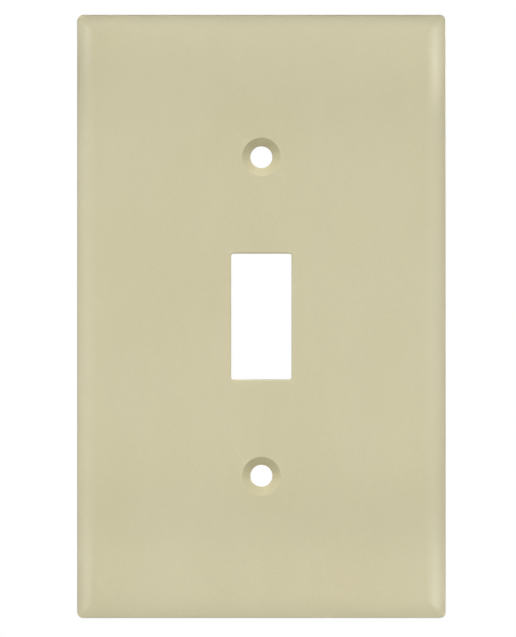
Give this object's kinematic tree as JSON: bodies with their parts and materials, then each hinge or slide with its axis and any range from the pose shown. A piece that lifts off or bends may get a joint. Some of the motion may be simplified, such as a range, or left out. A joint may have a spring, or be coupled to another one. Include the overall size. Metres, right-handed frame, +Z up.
{
  "type": "toggle switch wall plate",
  "caption": "Flat upright cover plate with rolled edges, a tall rectangular opening for a switch lever, countersunk screw holes above and below it, and a ribbed hollow back.",
  "frame": {"origin": "centre of the plate's outline, in the plane of the rear rim that rests on the wall", "axes": "+Z up the wall, +Y into the wall, so the visible face looks along -Y; +X to the right for someone facing the plate"},
  "size_m": [0.0698, 0.0056, 0.1142],
  "materials": {
    "ivory_plastic": "satin moulded ivory plastic"
  },
  "bodies": {
    "root": {"wall_plate": "ivory_plastic"}
  },
  "joints": []
}
